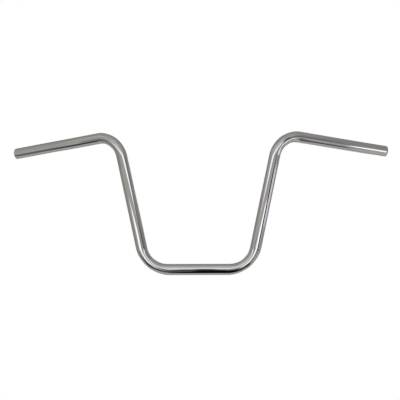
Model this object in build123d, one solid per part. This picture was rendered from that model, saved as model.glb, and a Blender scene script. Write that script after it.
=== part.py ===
"""Ape hanger handlebar: one round steel tube, bent four times, open at both ends.

Millimetres. The origin is the middle of the clamp run, on the tube's axis. +X is the rider's
left, +Y is rearward, towards the rider, and +Z is up. The clamp run and both uprights lie in
the XZ plane, and the grips sweep back and droop from the tops of the uprights.
"""

import os
from math import cos, radians, sin, tan

from build123d import *

TUBE_OD = 25.4  # one-inch bar, as the risers, controls and grips expect
TUBE_WALL = 2.4
CLAMP_STRAIGHT = 133.4  # straight run between the lower bends, where the risers hold the bar
RISE = 304.8  # clamp axis to the corner where upright and grip axes meet
UPRIGHT_SPLAY = 11.85  # degrees that each upright leans outwards
LOWER_BEND_R = 64.0  # to the tube's axis
UPPER_BEND_R = 53.0  # to the tube's axis
GRIP_STRAIGHT = 222.0  # straight run from the upper bend to the open end
PULLBACK = 21.0  # degrees that the grips sweep back from the clamp axis
DROOP = 7.8  # degrees that the grips fall below level
BEND_FLATTENING = 2.0  # what a bend takes off the diameter, measured in the bend's own plane
BEND_SPREAD = 1.0  # what it adds to the diameter across that plane
FLATTENING_EASE = 0.35  # share of each bend, at both ends, over which the round eases to the oval
BEND_STEPS = 20  # sections along a bend
END_BREAK = 0.8  # chamfer that breaks the outer edge of the cut ends
END_DEBURR = 0.5  # chamfer on the bore's mouth


def bar_path() -> list[Edge]:
    """The tube's axis from the right end to the left: straight runs and tangent arcs, in order."""
    splay = radians(UPRIGHT_SPLAY)
    upright = Vector(sin(splay), 0, cos(splay))
    sweep_back, fall = radians(PULLBACK), radians(DROOP)
    grip = Vector(cos(fall) * cos(sweep_back), cos(fall) * sin(sweep_back), -sin(fall))
    lower_turn = radians(Vector(1, 0, 0).get_angle(upright))
    upper_turn = radians(upright.get_angle(grip))
    lower = Vector(CLAMP_STRAIGHT / 2 + LOWER_BEND_R * tan(lower_turn / 2), 0, 0)
    upper = lower + upright * (RISE / upright.Z)
    end = upper + grip * (UPPER_BEND_R * tan(upper_turn / 2) + GRIP_STRAIGHT)
    left = [lower, upper, end]
    right = [Vector(-p.X, p.Y, p.Z) for p in reversed(left)]
    radii = [UPPER_BEND_R, LOWER_BEND_R, LOWER_BEND_R, UPPER_BEND_R]
    line = FilletPolyline(*right, *left, radius=radii)
    return sorted(line.edges(), key=lambda edge: (edge @ 0.5).X)


def flattened(share: float) -> float:
    """How far the section is on its way from round (0) to the full oval (1) at a share of a bend."""
    ease = min(1.0, min(share, 1 - share) / FLATTENING_EASE)
    return ease * ease * (3 - 2 * ease)


def bend_core(arc: Edge, inset: float) -> Part:
    """A bend filled solid, its skin lying the inset inside the tube's outer skin.

    The section starts round, eases to an oval that is flat in the bend's own plane and wide
    across it, and is round again where the next straight run begins.
    """
    across = (arc % 0).cross(arc % 1).normalized()
    radius = TUBE_OD / 2 - inset
    sections = []
    for step in range(BEND_STEPS + 1):
        share = step / BEND_STEPS
        grown = radius + flattened(share) * BEND_SPREAD / 2
        shrunk = radius - flattened(share) * BEND_FLATTENING / 2
        section = Ellipse(grown, shrunk) if grown > shrunk else Circle(radius)
        sections.append(Plane(arc @ share, across, arc % share) * section)
    return sweep(sections, path=arc, multisection=True)


def run_core(line: Edge, inset: float) -> Part:
    """A straight run filled solid, its skin lying the inset inside the tube's outer skin."""
    return extrude(Plane(line @ 0, z_dir=line % 0) * Circle(TUBE_OD / 2 - inset), line.length)


def bar_core(path: list[Edge], inset: float) -> Part:
    """The whole bar filled solid, its skin lying the inset inside the tube's outer skin."""
    bends = [bend_core(edge, inset) for edge in path if edge.geom_type == GeomType.CIRCLE]
    runs = [run_core(edge, inset) for edge in path if edge.geom_type == GeomType.LINE]
    return Part() + bends + runs


def end_edges(bar: Part, path: list[Edge], radius: float) -> ShapeList[Edge]:
    """The round edges of that radius at the two open ends."""
    ends = [path[0] @ 0, path[-1] @ 1]
    circles = bar.edges().filter_by(GeomType.CIRCLE)
    return circles.filter_by(
        lambda edge: abs(edge.radius - radius) < 0.01
        and min((edge.arc_center - end).length for end in ends) < 0.01
    )


path = bar_path()
bar = bar_core(path, 0) - bar_core(path, TUBE_WALL)
bar = chamfer(end_edges(bar, path, TUBE_OD / 2), END_BREAK)
bar = chamfer(end_edges(bar, path, TUBE_OD / 2 - TUBE_WALL), END_DEBURR)

os.makedirs("parts", exist_ok=True)
export_step(bar, "parts/handlebar_tube.step")
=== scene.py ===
"""A chromed ape hanger handlebar, modelled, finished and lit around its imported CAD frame.

Metres and radians, in the frame of the CAD model: the origin is the middle of the clamp run on the
tube's axis, +X is the rider's left, +Y is rearward and +Z is up. The camera stands in front of the
bar, so the rider's left is the picture's right.
"""

import logging
from collections.abc import Iterator, Sequence
from contextlib import contextmanager
from dataclasses import dataclass, field
from enum import Enum
from math import atan2, ceil, copysign, cos, radians, sin, tan

import bpy
from mathutils import Matrix, Vector


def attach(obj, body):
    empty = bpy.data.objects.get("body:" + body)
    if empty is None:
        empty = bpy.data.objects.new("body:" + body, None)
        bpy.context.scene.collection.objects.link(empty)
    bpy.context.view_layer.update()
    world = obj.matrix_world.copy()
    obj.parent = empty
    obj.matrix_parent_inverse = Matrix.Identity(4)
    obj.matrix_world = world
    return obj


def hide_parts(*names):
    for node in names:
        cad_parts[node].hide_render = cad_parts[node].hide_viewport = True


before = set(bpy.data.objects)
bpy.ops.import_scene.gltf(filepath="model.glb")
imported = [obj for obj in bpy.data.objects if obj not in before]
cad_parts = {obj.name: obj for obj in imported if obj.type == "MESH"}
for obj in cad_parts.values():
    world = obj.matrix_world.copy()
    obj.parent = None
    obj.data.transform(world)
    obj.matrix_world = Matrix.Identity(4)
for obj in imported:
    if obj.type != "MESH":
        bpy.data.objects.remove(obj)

LOG = logging.getLogger("handlebar")
STRAIGHTENED = "straightened"  # mesh attribute: where a point lies when the tube is straightened
MERGE_DISTANCE = 0.00001  # points of the mirrored halves that are nearer than this become one
EDGE_MATCH = 0.0001  # points this near to the edge of an open end count as lying on it
LAYER_GAP = 0.003  # how much nearer each later card stands, so that no two cards share a place
CARD_EDGE = 0.5  # where a card ends, in its own coordinates
WIDEST_FADE = 0.45  # the largest share of a card's width or height that one soft edge takes up

Pair = tuple[float, float]
Triple = tuple[float, float, float]
Colour = tuple[float, float, float]
WHITE: Colour = (1.0, 1.0, 1.0)
WARM: Colour = (1.03, 1.0, 0.9)
ROSE: Colour = (1.05, 0.98, 0.97)
LILAC: Colour = (0.97, 0.95, 1.08)


def deselect_all() -> None:
    """Leaves nothing selected, so that the next operator acts on its own object alone."""
    bpy.ops.object.select_all(action="DESELECT")


def make_active(obj: bpy.types.Object) -> None:
    """Selects one object alone and makes it the active one.

    Args:
        obj: the object.
    """
    deselect_all()
    obj.select_set(True)
    bpy.context.view_layer.objects.active = obj


def newly_added(name: str) -> bpy.types.Object:
    """Names the object that an operator has just added, and its mesh.

    Args:
        name: the name of both.

    Returns:
        The object.
    """
    added = bpy.context.object
    added.name = added.data.name = name
    return added


@contextmanager
def editing(obj: bpy.types.Object) -> Iterator[None]:
    """Keeps one object alone in edit mode while a block runs.

    Args:
        obj: the object that is edited.

    Yields:
        Nothing.
    """
    make_active(obj)
    bpy.ops.object.mode_set(mode="EDIT")
    yield
    bpy.ops.object.mode_set(mode="OBJECT")


def apply_modifier(obj: bpy.types.Object, kind: str, **settings: object) -> None:
    """Adds a modifier, sets it and applies it to the mesh.

    Args:
        obj: the object that is changed.
        kind: the modifier's type.
        **settings: the modifier's properties by name.
    """
    make_active(obj)
    modifier = obj.modifiers.new(kind.lower(), kind)
    for key, value in settings.items():
        setattr(modifier, key, value)
    bpy.ops.object.modifier_apply(modifier=modifier.name)


class NodeSheet:
    """The node tree of one material or world, with short ways to add and join nodes."""

    def __init__(self, owner: bpy.types.ID) -> None:
        """Empties the owner's node tree and starts a new one.

        Args:
            owner: the material or the world.
        """
        owner.use_nodes = True
        self.tree = owner.node_tree
        self.tree.nodes.clear()

    def add(self, kind: str, label: str = "", **settings: object) -> bpy.types.Node:
        """Adds one node.

        Args:
            kind: the node's type without its ShaderNode prefix.
            label: what the node is for.
            **settings: the node's properties by name.

        Returns:
            The new node.
        """
        node = self.tree.nodes.new("ShaderNode" + kind)
        node.label = label
        for key, value in settings.items():
            setattr(node, key, value)
        return node

    def join(self, source: bpy.types.NodeSocket, target: bpy.types.NodeSocket) -> None:
        """Links an output socket to an input socket."""
        self.tree.links.new(source, target)

    def place(self, label: str) -> bpy.types.Node:
        """Splits the Object coordinates of a surface.

        Args:
            label: what the coordinates are on.

        Returns:
            A node with the outputs X, Y and Z.
        """
        point = self.add("TexCoord")
        split = self.add("SeparateXYZ", label)
        self.join(point.outputs["Object"], split.inputs["Vector"])
        return split

    def calculate(
        self, operation: str, label: str, *values: bpy.types.NodeSocket
    ) -> bpy.types.NodeSocket:
        """Works out one number from others.

        Args:
            operation: the Math node's operation.
            label: what the result is.
            *values: the numbers that it takes, in order.

        Returns:
            The result.
        """
        node = self.add("Math", label, operation=operation)
        for value, target in zip(values, node.inputs):
            self.join(value, target)
        return node.outputs["Value"]

    def remap(
        self,
        value: bpy.types.NodeSocket,
        label: str,
        span: Pair,
        onto: Pair = (0.0, 1.0),
        smooth: bool = False,
    ) -> bpy.types.NodeSocket:
        """Carries a number from one range onto another, and holds it at that range's ends.

        Args:
            value: the number.
            label: what the result is.
            span: the range that the number comes from.
            onto: the range that it is carried onto.
            smooth: whether it eases in and out instead of going evenly.

        Returns:
            The result.
        """
        node = self.add(
            "MapRange", label, interpolation_type="SMOOTHSTEP" if smooth else "LINEAR"
        )
        for name, end in zip(("From Min", "From Max", "To Min", "To Max"), (*span, *onto)):
            node.inputs[name].default_value = end
        self.join(value, node.inputs["Value"])
        return node.outputs["Result"]

    def ramp(
        self, value: bpy.types.NodeSocket, label: str, stops: Sequence[tuple[float, Colour]]
    ) -> bpy.types.NodeSocket:
        """Turns a number into a colour.

        Args:
            value: the number.
            label: what the colour shows.
            stops: numbers from 0 to 1 in rising order, each with its colour.

        Returns:
            The colour.
        """
        node = self.add("ValToRGB", label)
        marks = node.color_ramp.elements
        while len(marks) < len(stops):
            marks.new(1.0)
        for mark, (position, colour) in zip(marks, stops):
            mark.position = position
            mark.color = (*colour, 1.0)
        self.join(value, node.inputs["Fac"])
        return node.outputs["Color"]

    def mix(
        self, share: bpy.types.NodeSocket, first: bpy.types.NodeSocket, second: bpy.types.NodeSocket
    ) -> bpy.types.NodeSocket:
        """Blends two shaders.

        Args:
            share: how much of the second there is.
            first: the shader where the share is 0.
            second: the shader where it is 1.

        Returns:
            The blend.
        """
        node = self.add("MixShader")
        for source, target in zip((share, first, second), node.inputs):
            self.join(source, target)
        return node.outputs["Shader"]

    def show(self, shader: bpy.types.NodeSocket, kind: str = "OutputMaterial") -> None:
        """Makes a shader what the material, or the world, shows."""
        self.join(shader, self.add(kind).inputs["Surface"])


@dataclass(frozen=True)
class Pattern:
    """A noise on the straightened tube, which so follows the tube round its bends."""

    label: str
    cells: Triple  # per metre along the tube and in its two cross directions
    octaves: float

    def draw(self, sheet: NodeSheet) -> bpy.types.NodeSocket:
        """Adds the noise to a material.

        Args:
            sheet: the material's nodes.

        Returns:
            The noise, from 0 to 1.
        """
        place = sheet.add("Attribute", "place on the straight tube", attribute_name=STRAIGHTENED)
        stretch = sheet.add("Mapping", self.label)
        stretch.inputs["Scale"].default_value = self.cells
        noise = sheet.add("TexNoise", self.label)
        noise.inputs["Scale"].default_value = 1.0
        noise.inputs["Detail"].default_value = self.octaves
        sheet.join(place.outputs["Vector"], stretch.inputs["Vector"])
        sheet.join(stretch.outputs["Vector"], noise.inputs["Vector"])
        return noise.outputs["Fac"]

    def emboss(
        self, sheet: NodeSheet, height: float, under: bpy.types.NodeSocket | None = None
    ) -> bpy.types.NodeSocket:
        """Adds the noise to a material as relief.

        Args:
            sheet: the material's nodes.
            height: how high the relief is, in metres.
            under: the relief that this one lies on.

        Returns:
            The normal of the relief.
        """
        bump = sheet.add("Bump", self.label)
        bump.inputs["Distance"].default_value = height
        sheet.join(self.draw(sheet), bump.inputs["Height"])
        if under is not None:
            sheet.join(under, bump.inputs["Normal"])
        return bump.outputs["Normal"]


@dataclass(frozen=True)
class ChromePlate:
    """Bright chrome over polished tube: a mirror with faint marks, fine lines and slight waves."""

    name: str = "chrome_plate"
    pale: Colour = (0.576, 0.567, 0.570)
    deep: Colour = (0.541, 0.531, 0.537)
    wipe_marks: Pattern = Pattern("wipe marks", cells=(14.0, 70.0, 70.0), octaves=3.0)
    tint_range: Pair = (0.3, 0.7)  # of the wipe marks, from deep to pale
    haze_range: Pair = (0.35, 0.75)  # of the wipe marks, from clearest to haziest
    clearest: float = 0.03
    haziest: float = 0.075
    drawn_waves: Pattern = Pattern("drawn waves", cells=(24.0, 60.0, 60.0), octaves=1.0)
    wave_height: float = 0.000015
    polish_lines: Pattern = Pattern("lines round the tube", cells=(2600.0, 30.0, 30.0), octaves=2.0)
    line_height: float = 0.0000001

    def material(self) -> bpy.types.Material:
        """The plating's material, patterned on the straightened tube.

        Returns:
            A material that reads the mesh attribute of the straightened tube.
        """
        made = bpy.data.materials.new(self.name)
        sheet = NodeSheet(made)
        marks = self.wipe_marks.draw(sheet)
        stops = tuple(zip(self.tint_range, (self.deep, self.pale)))
        tint = sheet.ramp(marks, "thin and thick plating", stops)
        haze = sheet.remap(
            marks, "haze of the wipe marks", self.haze_range, (self.clearest, self.haziest)
        )
        waves = self.drawn_waves.emboss(sheet, self.wave_height)
        relief = self.polish_lines.emboss(sheet, self.line_height, waves)
        shader = sheet.add("BsdfPrincipled", "chrome")
        shader.inputs["Metallic"].default_value = 1.0
        sheet.join(tint, shader.inputs["Base Color"])
        sheet.join(haze, shader.inputs["Roughness"])
        sheet.join(relief, shader.inputs["Normal"])
        sheet.show(shader.outputs["BSDF"])
        return made


@dataclass(frozen=True)
class BoreSteel:
    """The unplated inside of the tube: dull drawn steel under a thin grey scale."""

    name: str = "bore_steel"
    pale: Colour = (0.50, 0.48, 0.46)
    deep: Colour = (0.32, 0.30, 0.28)
    drawn_scale: Pattern = Pattern("drawn scale", cells=(220.0, 220.0, 220.0), octaves=5.0)
    tint_range: Pair = (0.35, 0.65)  # of the drawn scale, from deep to pale
    bare_metal: float = 0.4
    roughness: float = 0.55

    def material(self) -> bpy.types.Material:
        """The bore's material, blotched along the straightened tube.

        Returns:
            A material that reads the mesh attribute of the straightened tube.
        """
        made = bpy.data.materials.new(self.name)
        sheet = NodeSheet(made)
        stops = tuple(zip(self.tint_range, (self.deep, self.pale)))
        tint = sheet.ramp(self.drawn_scale.draw(sheet), "drawn scale", stops)
        shader = sheet.add("BsdfPrincipled", "steel")
        shader.inputs["Metallic"].default_value = self.bare_metal
        shader.inputs["Roughness"].default_value = self.roughness
        sheet.join(tint, shader.inputs["Base Color"])
        sheet.show(shader.outputs["BSDF"])
        return made


@dataclass(frozen=True)
class Bend:
    """One bend of the bar: an arc from the end of a straight run, in a plane of its own."""

    start: Vector
    heading: Vector  # of the run that ends at the start
    across: Vector  # square to the plane of the bend
    radius: float  # to the tube's axis
    turn: float

    @property
    def centre(self) -> Vector:
        """The middle of the arc."""
        return self.start + self.across.cross(self.heading) * self.radius

    @property
    def end(self) -> Vector:
        """Where the arc runs out into the next straight run."""
        return self.turned(self.start, self.turn)

    def turned(self, point: Vector, angle: float) -> Vector:
        """A point carried round the arc's middle by an angle."""
        return Matrix.Rotation(angle, 3, self.across) @ (point - self.centre) + self.centre

    def unrolled(self, point: Vector) -> Vector:
        """Where a point lies when this bend is straightened along its first run.

        Args:
            point: a point of the tube, or near it.

        Returns:
            The point turned back round the bend and moved on by the length of arc it was turned.
        """
        arm = point - self.centre
        outward = (self.start - self.centre).normalized()
        angle = min(max(atan2(arm.dot(self.heading), arm.dot(outward)), 0.0), self.turn)
        return self.turned(point, -angle) + self.heading * (self.radius * angle)


@dataclass
class HandlebarTube:
    """The one tube of the bar, bent four times and open at both grip ends.

    It is worked out for the left half, from the middle of the clamp run to the open end, and
    mirrored.
    """

    name: str = "bent_tube"
    outer_radius: float = 0.0127
    wall: float = 0.0024
    clamp_straight: float = 0.1334  # straight run between the lower bends
    rise: float = 0.3048  # clamp axis to the corner where upright and grip axes meet
    splay: float = radians(11.85)  # how far each upright leans outwards
    lower_bend_radius: float = 0.064  # to the tube's axis, as the next one is
    upper_bend_radius: float = 0.053
    grip_straight: float = 0.222  # straight run from the upper bend to the open end
    pullback: float = radians(21.0)  # how far the grips sweep back
    droop: float = radians(7.8)  # how far they fall below level
    bend_flattening: float = 0.002  # what a bend takes off the diameter in its own plane
    bend_spread: float = 0.001  # what it adds to the diameter across that plane
    flattening_ease: float = 0.35  # share of a bend, at both ends, over which it turns oval
    end_break: float = 0.0018  # rounding of the outer edge of a cut end
    end_deburr: float = 0.0004  # rounding of the edge of its bore
    break_steps: int = 5
    sides: int = 96
    bend_steps: int = 36
    run_step: float = 0.012  # longest step along a straight run
    smooth_angle: float = radians(40)  # faces that meet at less are shaded as one
    upright: Vector = field(init=False)
    grip: Vector = field(init=False)
    lower: Bend = field(init=False)
    upper: Bend = field(init=False)
    tip: Vector = field(init=False)

    def __post_init__(self) -> None:
        """Works out the two bends and the open end of the left half from the sizes."""
        clamp = Vector((1.0, 0.0, 0.0))
        level = cos(self.droop)
        self.upright = Vector((sin(self.splay), 0.0, cos(self.splay)))
        self.grip = Vector(
            (level * cos(self.pullback), level * sin(self.pullback), -sin(self.droop))
        )
        lower_turn = clamp.angle(self.upright)
        upper_turn = self.upright.angle(self.grip)
        self.lower = Bend(
            start=clamp * (self.clamp_straight / 2),
            heading=clamp,
            across=clamp.cross(self.upright).normalized(),
            radius=self.lower_bend_radius,
            turn=lower_turn,
        )
        corner_x = self.clamp_straight / 2 + self.lower_bend_radius * tan(lower_turn / 2)
        corner = clamp * corner_x + self.upright * (self.rise / self.upright.z)
        self.upper = Bend(
            start=corner - self.upright * (self.upper_bend_radius * tan(upper_turn / 2)),
            heading=self.upright,
            across=self.upright.cross(self.grip).normalized(),
            radius=self.upper_bend_radius,
            turn=upper_turn,
        )
        self.tip = self.upper.end + self.grip * self.grip_straight

    def build(self) -> bpy.types.Object:
        """Models the tube ring by ring from the clamp's middle, mirrors it and gives it its wall.

        Returns:
            The finished mesh object, in place.
        """
        deselect_all()
        bpy.ops.mesh.primitive_circle_add(
            vertices=self.sides,
            radius=self.outer_radius,
            fill_type="NOTHING",
            rotation=(0.0, radians(90), 0.0),
        )
        tube = newly_added(self.name)
        bpy.ops.object.transform_apply(location=True, rotation=True, scale=True)
        with editing(tube):
            bpy.ops.mesh.select_all(action="SELECT")
            self._run(self.lower.start, self.lower.heading)
            self._bend(self.lower)
            self._run(self.upper.start - self.lower.end, self.upright)
            self._bend(self.upper)
            self._run(self.tip - self.upper.end, self.grip)
        apply_modifier(
            tube, "MIRROR", use_axis=(True, False, False), merge_threshold=MERGE_DISTANCE
        )
        with editing(tube):
            bpy.ops.mesh.select_all(action="SELECT")
            bpy.ops.mesh.remove_doubles(threshold=MERGE_DISTANCE)
            bpy.ops.mesh.normals_make_consistent(inside=False)
        # An offset of -1 lays the whole wall inside the skin modelled so far.
        apply_modifier(tube, "SOLIDIFY", thickness=self.wall, offset=-1.0, use_even_offset=True)
        self._break_ends(tube, self.outer_radius, self.end_break)
        self._break_ends(tube, self.outer_radius - self.wall, self.end_deburr)
        make_active(tube)
        bpy.ops.object.shade_smooth_by_angle(angle=self.smooth_angle)
        return tube

    def dress(self, tube: bpy.types.Object, plate: ChromePlate, bore: BoreSteel) -> None:
        """Plates the outside, leaves the bore bare, and stores each point's straightened place.

        Args:
            tube: the tube's mesh object.
            plate: the finish of the outside and of the rounded edges of its ends.
            bore: the finish of the inside and of its mouths.
        """
        mesh = tube.data
        straight = mesh.attributes.new(STRAIGHTENED, "FLOAT_VECTOR", "POINT")
        places = [self._straightened(v.co) for v in mesh.vertices]
        straight.data.foreach_set("vector", [c for p in places for c in p])
        mesh.materials.append(plate.material())
        mesh.materials.append(bore.material())
        # A bend widens the bore by half the spread, so this lies between the bore and the skin.
        widest_bore = self.outer_radius - self.wall + self.bend_spread
        for face in mesh.polygons:
            inside = all(Vector(places[i][1:]).length < widest_bore for i in face.vertices)
            face.material_index = int(inside)

    def _run(self, way: Vector, heading: Vector) -> None:
        """Extrudes the selected ring along a straight run, in even steps.

        Args:
            way: from the run's start to its end.
            heading: the run's direction.
        """
        steps = ceil(way.length / self.run_step)
        for _ in range(steps):
            bpy.ops.mesh.extrude_region_move(
                TRANSFORM_OT_translate={"value": heading * (way.length / steps)}
            )

    def _bend(self, bend: Bend) -> None:
        """Spins the selected ring round a bend, pressing each new ring towards its oval.

        Args:
            bend: the arc to follow.
        """
        in_plane, spread = self.outer_radius, self.outer_radius
        for step in range(1, self.bend_steps + 1):
            bpy.ops.mesh.spin(
                steps=1, angle=-bend.turn / self.bend_steps, center=bend.centre, axis=bend.across
            )
            share = step / self.bend_steps
            oval = self._flattened(share)
            now_in_plane = self.outer_radius - oval * self.bend_flattening / 2
            now_spread = self.outer_radius + oval * self.bend_spread / 2
            middle = bend.turned(bend.start, share * bend.turn)
            outward = (middle - bend.centre).normalized()
            axes = Matrix((outward, bend.across, outward.cross(bend.across))).transposed()
            bpy.ops.transform.resize(
                value=(now_in_plane / in_plane, now_spread / spread, 1.0),
                orient_type="GLOBAL",
                orient_matrix=axes,
                orient_matrix_type="GLOBAL",
                center_override=middle,
            )
            in_plane, spread = now_in_plane, now_spread

    def _flattened(self, share: float) -> float:
        """How far the section is from round, 0, to the full oval, 1, at a share of a bend."""
        ease = min(1.0, min(share, 1 - share) / self.flattening_ease)
        return ease * ease * (3 - 2 * ease)

    def _break_ends(self, tube: bpy.types.Object, radius: float, size: float) -> None:
        """Rounds one round edge at both open ends.

        Args:
            tube: the tube's mesh object.
            radius: the edge's radius.
            size: how much of the edge is taken off.
        """
        reach = self._straightened(self.tip).x
        mesh = tube.data
        places = [self._straightened(v.co) for v in mesh.vertices]
        at_edge = [
            abs(abs(p.x) - reach) < EDGE_MATCH and abs(Vector(p[1:]).length - radius) < EDGE_MATCH
            for p in places
        ]
        for part in (mesh.vertices, mesh.edges, mesh.polygons):
            part.foreach_set("select", [False] * len(part))
        for edge in mesh.edges:
            edge.select = all(at_edge[i] for i in edge.vertices)
        with editing(tube):
            bpy.ops.mesh.select_mode(type="EDGE")
            bpy.ops.mesh.bevel(
                offset=size, offset_type="OFFSET", segments=self.break_steps, affect="EDGES"
            )
            bpy.ops.mesh.select_mode(type="VERT")

    def _straightened(self, point: Vector) -> Vector:
        """Where a point of the tube lies when the bar is straightened along X.

        Args:
            point: a point of either half.

        Returns:
            The point's new place. The middle of the clamp run stays where it is.
        """
        half = Vector((abs(point.x), point.y, point.z))
        half = self.lower.unrolled(self.upper.unrolled(half))
        return Vector((copysign(half.x, point.x), half.y, half.z))


class CardKind(Enum):
    """What a studio card is; the value is how far such cards stand from the bar's middle."""

    WALL = 2.0
    SOFTBOX = 1.9
    MAT = 1.8
    REFLECTOR = 1.7
    FLAG = 1.6
    NEAR_FLAG = 0.5


@dataclass(frozen=True)
class Card:
    """A flat, soft-edged card of the studio that only the chrome sees.

    It stands at a bearing, in degrees from the camera's side of the bar towards the picture's
    right, so that 180 is behind the bar, and at an elevation, in degrees above level. It spans so
    many degrees in width and in height, seen from the bar's middle, and is rolled by so many.
    """

    name: str
    kind: CardKind
    glow: float
    at: Pair
    span: Pair
    roll: float = 0.0
    tint: Colour = WHITE
    softness: float = 0.04  # width of the soft edge, in metres

    def build(self, middle: Vector, order: int) -> bpy.types.Object:
        """Sets the card up, hidden from the camera.

        Args:
            middle: the place that the card faces.
            order: its place in the list; a later card stands a little nearer than its kind.

        Returns:
            The card's object.
        """
        bearing, elevation = (radians(angle) for angle in self.at)
        away = Vector(
            (sin(bearing) * cos(elevation), -cos(bearing) * cos(elevation), sin(elevation))
        )
        right = Vector((cos(bearing), sin(bearing), 0.0))
        axes = Matrix((right, away.cross(right), away)).transposed()
        axes = axes @ Matrix.Rotation(radians(self.roll), 3, "Z")
        distance = self.kind.value - order * LAYER_GAP
        size = [2 * distance * tan(radians(angle) / 2) + self.softness for angle in self.span]
        deselect_all()
        bpy.ops.mesh.primitive_plane_add(size=2 * CARD_EDGE)
        card = newly_added(self.name)
        card.matrix_world = (
            Matrix.Translation(middle + away * distance)
            @ axes.to_4x4()
            @ Matrix.Diagonal((*size, 1.0, 1.0))
        )
        card.data.materials.append(self._material(size))
        show_to_chrome_only(card)
        return card

    def _material(self, size: Sequence[float]) -> bpy.types.Material:
        """The card's even glow, fading out at its edges.

        Args:
            size: the card's width and height in metres.

        Returns:
            A material on the card's own Object coordinates.
        """
        made = bpy.data.materials.new(self.name)
        sheet = NodeSheet(made)
        place = sheet.place("place on the card")
        inside = []
        for axis, length in zip("XY", size):
            out = sheet.calculate("ABSOLUTE", "distance from the middle", place.outputs[axis])
            full_glow = CARD_EDGE - min(WIDEST_FADE, self.softness / length)
            inside.append(sheet.remap(out, "soft edge", (CARD_EDGE, full_glow), smooth=True))
        share = sheet.calculate("MULTIPLY", "inside both edges", *inside)
        clear = sheet.add("BsdfTransparent", "past the edge")
        glow = sheet.add("Emission", self.kind.name.lower())
        glow.inputs["Color"].default_value = (*self.tint, 1.0)
        glow.inputs["Strength"].default_value = self.glow
        sheet.show(sheet.mix(share, clear.outputs["BSDF"], glow.outputs["Emission"]))
        return made


def show_to_chrome_only(piece: bpy.types.Object) -> None:
    """Hides a piece from the camera, from matt surfaces and from shadows.

    Args:
        piece: the tent or a card.
    """
    piece.visible_camera = False
    piece.visible_diffuse = False
    piece.visible_shadow = False


# Left and right are the picture's. The order counts: a later card hides an earlier one of its kind.
FRONT_CARDS = (
    Card("grey_flag_left", CardKind.WALL, 0.36, at=(-90, -13), span=(36, 82), roll=31, tint=WARM),
    Card("grey_flag_right", CardKind.WALL, 0.37, at=(83, 13), span=(79, 65), roll=29, tint=ROSE),
    Card("dim_mat_far_left", CardKind.WALL, 0.18, at=(-66, -38), span=(16, 36)),
    Card("high_softbox_left", CardKind.SOFTBOX, 0.66, at=(-40, 41), span=(48, 30), tint=WARM),
    Card("high_softbox_right", CardKind.SOFTBOX, 0.58, at=(28, 46), span=(26, 26)),
    Card("wide_softbox", CardKind.SOFTBOX, 0.95, at=(0, 23), span=(46, 19), roll=-10),
    Card("tall_softbox", CardKind.SOFTBOX, 0.8, at=(-2, 38), span=(19, 51), roll=6),
    Card("strip_softbox", CardKind.SOFTBOX, 1.65, at=(2, 13.3), span=(88, 9)),
    Card("dim_mat_left", CardKind.MAT, 0.12, at=(-25, -48), span=(34, 34)),
    Card("dark_mat_far_left", CardKind.MAT, 0.05, at=(-54, -41), span=(17, 38), roll=-32),
    Card("dim_mat_right", CardKind.MAT, 0.12, at=(36, -44), span=(24, 22)),
    Card("dark_mat_low", CardKind.MAT, 0.004, at=(34, -65), span=(40, 22)),
    Card("dark_mat_middle", CardKind.MAT, 0.003, at=(6, -52), span=(16.5, 56)),
    Card("dark_mat_right", CardKind.MAT, 0.08, at=(58, -46), span=(10, 34), roll=32),
    Card("dim_mat_far_right", CardKind.REFLECTOR, 0.42, at=(58, -33), span=(9, 14), tint=LILAC),
    Card("reflector_left", CardKind.REFLECTOR, 1.4, at=(-25, -18), span=(16, 22)),
    Card("reflector_left_top", CardKind.REFLECTOR, 1.8, at=(-22, -8), span=(33, 8), roll=4),
    Card("reflector_right", CardKind.REFLECTOR, 1.7, at=(23, -16.5), span=(18, 25), roll=-10),
    Card("reflector_right_top", CardKind.REFLECTOR, 1.9, at=(23, -8.5), span=(26, 7), roll=-2),
    Card("reflector_inner", CardKind.REFLECTOR, 1.3, at=(9, -13), span=(10, 16), roll=20),
    Card("panel_far_right", CardKind.REFLECTOR, 2.1, at=(60.5, -11.5), span=(10, 13)),
    Card(
        "low_strip_right", CardKind.REFLECTOR, 1.2, at=(83, -10), span=(20, 8), roll=-4, tint=LILAC
    ),
    Card("side_glow_right", CardKind.REFLECTOR, 0.95, at=(62, 1), span=(8, 10), softness=0.1),
    Card("upright_flag", CardKind.FLAG, 0.02, at=(43, -17), span=(10, 54)),
    Card("near_flag", CardKind.NEAR_FLAG, 0.02, at=(60, -11), span=(10, 30), softness=0.02),
    Card("high_flag_right", CardKind.FLAG, 0.2, at=(51, 12), span=(13, 17)),
    Card("bend_flag_right", CardKind.NEAR_FLAG, 0.08, at=(56, 27), span=(7.5, 12), softness=0.02),
    Card("bend_flag_left", CardKind.NEAR_FLAG, 0.28, at=(-69.5, 10), span=(8, 10), softness=0.02),
    Card("stand_flag", CardKind.FLAG, 0.03, at=(-2.5, -22), span=(8.5, 22)),
    Card(
        "lens_flag", CardKind.NEAR_FLAG, 0.05, at=(0.5, -20), span=(7, 22), roll=8, softness=0.02
    ),
    Card("low_flag_left", CardKind.NEAR_FLAG, 0.02, at=(-68, -49), span=(14, 8), softness=0.02),
    Card("low_flag_right", CardKind.NEAR_FLAG, 0.08, at=(75, -53), span=(12.5, 9), softness=0.02),
)
BACK_CARDS = (
    Card("back_strip", CardKind.SOFTBOX, 1.6, at=(180, 14), span=(90, 9)),
    Card("back_glow_left", CardKind.SOFTBOX, 1.3, at=(-158, 4), span=(9, 50)),
    Card("back_glow_right", CardKind.SOFTBOX, 1.3, at=(158, 4), span=(9, 50)),
    Card("back_reflector", CardKind.REFLECTOR, 1.1, at=(180, -26), span=(70, 12)),
    Card("back_flag", CardKind.FLAG, 0.05, at=(180, -5), span=(40, 20)),
    Card("back_upright_left", CardKind.FLAG, 0.05, at=(-142, 0), span=(9, 80)),
    Card("back_upright_right", CardKind.FLAG, 0.05, at=(142, 0), span=(9, 80)),
)


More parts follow.
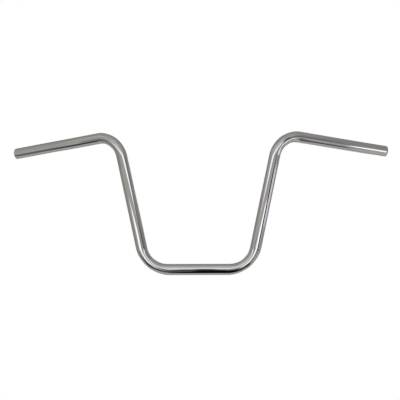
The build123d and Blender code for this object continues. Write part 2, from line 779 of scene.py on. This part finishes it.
@dataclass
class Studio:
    """The plain room round the bar: white surround, pale floor, closed grey tent and cards."""

    middle: Triple = (0.0, 0.03, 0.16)  # what the tent stands round and the cards face
    surround: float = 1.0
    floor_level: float = -3.1
    floor_size: float = 60.0
    floor_colour: Colour = (0.86, 0.86, 0.86)
    floor_fade: Pair = (4.0, 11.0)  # from the bar, where the floor starts and ends turning white
    tent_radius: float = 3.1
    tent_segments: int = 64
    tent_rings: int = 32
    # The greys of the tent's cloth at heights from its foot, -1, to its top, 1.
    tent_levels: tuple[Pair, ...] = (
        (-1.0, 0.62), (0.0, 0.55), (0.45, 0.52), (0.8, 0.43), (1.0, 0.48)
    )
    tent_back: float = 0.62  # share of its glow that the cloth keeps straight behind the bar
    tent_tint: Colour = (1.01, 1.0, 0.95)
    cards: tuple[Card, ...] = FRONT_CARDS + BACK_CARDS

    def build(self) -> list[bpy.types.Object]:
        """Builds the surround, floor, tent and cards in turn.

        Returns:
            The stage's objects.
        """
        self._surround()
        pieces = [self._floor(), self._tent()]
        for order, card in enumerate(self.cards):
            pieces.append(card.build(Vector(self.middle), order))
        return pieces

    def _surround(self) -> None:
        """An even white surround at which a colour renders as it is written."""
        world = bpy.data.worlds.new("studio_surround")
        bpy.context.scene.world = world
        sheet = NodeSheet(world)
        glow = sheet.add("Background", "white surround")
        glow.inputs["Color"].default_value = (*WHITE, 1.0)
        glow.inputs["Strength"].default_value = self.surround
        sheet.show(glow.outputs["Background"], "OutputWorld")

    def _floor(self) -> bpy.types.Object:
        """A plain pale floor well below the bar, running out into white.

        Returns:
            The floor's object.
        """
        deselect_all()
        bpy.ops.mesh.primitive_plane_add(
            size=self.floor_size, location=(0.0, 0.0, self.floor_level)
        )
        floor = newly_added("studio_floor")
        floor.data.materials.append(self._floor_paint())
        return floor

    def _floor_paint(self) -> bpy.types.Material:
        """Matt paint that turns white far out, for the rays that show the floor itself.

        Returns:
            The floor's material.
        """
        made = bpy.data.materials.new("floor_paint")
        sheet = NodeSheet(made)
        place = sheet.add("TexCoord")
        reach = sheet.add("VectorMath", "distance from the bar", operation="LENGTH")
        sheet.join(place.outputs["Object"], reach.inputs[0])
        far = sheet.remap(
            reach.outputs["Value"], "runs out into white", self.floor_fade, smooth=True
        )
        path = sheet.add("LightPath", "rays that show the floor")
        camera, glossy = path.outputs["Is Camera Ray"], path.outputs["Is Glossy Ray"]
        shown = sheet.calculate("MAXIMUM", "camera or glossy", camera, glossy)
        transmission = path.outputs["Is Transmission Ray"]
        shown = sheet.calculate("MAXIMUM", "or transmission", shown, transmission)
        white_part = sheet.calculate("MULTIPLY", "far floor in those rays", far, shown)
        matt = sheet.add("BsdfDiffuse", "matt paint")
        matt.inputs["Color"].default_value = (*self.floor_colour, 1.0)
        white = sheet.add("Emission", "white")
        sheet.show(sheet.mix(white_part, matt.outputs["BSDF"], white.outputs["Emission"]))
        return made

    def _tent(self) -> bpy.types.Object:
        """A round grey tent, which is what most of the chrome shows.

        Returns:
            The tent's object.
        """
        deselect_all()
        bpy.ops.mesh.primitive_uv_sphere_add(
            segments=self.tent_segments, ring_count=self.tent_rings, radius=self.tent_radius
        )
        tent = newly_added("grey_tent")
        tent.location = self.middle
        tent.data.materials.append(self._tent_cloth())
        show_to_chrome_only(tent)
        return tent

    def _tent_cloth(self) -> bpy.types.Material:
        """Glowing grey cloth, paler low down than overhead and dimmer behind the bar.

        Returns:
            The tent's material.
        """
        made = bpy.data.materials.new("tent_cloth")
        sheet = NodeSheet(made)
        place = sheet.place("place on the tent")
        height = sheet.remap(
            place.outputs["Z"], "height on the tent", (-self.tent_radius, self.tent_radius)
        )
        greys = [
            ((level + 1) / 2, tuple(grey * part for part in self.tent_tint))
            for level, grey in self.tent_levels
        ]
        colour = sheet.ramp(height, "paler low down than overhead", greys)
        strength = sheet.remap(
            place.outputs["Y"],
            "dimmer behind the bar",
            span=(0.0, self.tent_radius),
            onto=(1.0, self.tent_back),
        )
        glow = sheet.add("Emission", "grey cloth")
        sheet.join(colour, glow.inputs["Color"])
        sheet.join(strength, glow.inputs["Strength"])
        sheet.show(glow.outputs["Emission"])
        return made


@dataclass(frozen=True)
class PhotoCamera:
    """The picture's camera: in front of the bar, level, and a little to the rider's left."""

    place: Triple = (0.099406, -2.297963, 0.155077)
    yaw: float = radians(-2.38)
    pitch: float = radians(-0.04)
    roll: float = radians(-0.29)
    lens: float = 91.74  # millimetres, as the sensor's width is
    sensor: float = 36.0

    def build(self) -> bpy.types.Object:
        """Makes the camera the scene's own.

        Returns:
            The camera object.
        """
        lens = bpy.data.cameras.new("photo_camera")
        lens.lens = self.lens
        lens.sensor_width = self.sensor
        camera = bpy.data.objects.new("photo_camera", lens)
        bpy.context.scene.collection.objects.link(camera)
        look = (
            Matrix.Rotation(self.roll, 3, "Y")
            @ Matrix.Rotation(self.pitch, 3, "X")
            @ Matrix.Rotation(self.yaw, 3, "Z")
        )
        axes = Matrix((look[0], look[2], -look[1])).transposed()
        camera.matrix_world = Matrix.Translation(self.place) @ axes.to_4x4()
        bpy.context.scene.camera = camera
        return camera


def main() -> None:
    """Builds the bar, its finishes, the studio and the camera."""
    logging.basicConfig(level=logging.INFO, format="%(name)s: %(message)s")
    bpy.context.scene.view_settings.view_transform = "Standard"
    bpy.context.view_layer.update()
    bar = HandlebarTube()
    tube = bar.build()
    bar.dress(tube, ChromePlate(), BoreSteel())
    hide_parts("handlebar_tube")
    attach(tube, "root")
    mesh = tube.data
    LOG.info("%s: %d vertices, %d faces", tube.name, len(mesh.vertices), len(mesh.polygons))
    for piece in Studio().build():
        LOG.info("%s set up", piece.name)
    LOG.info("%s set up", PhotoCamera().build().name)


if __name__ == "__main__":
    main()
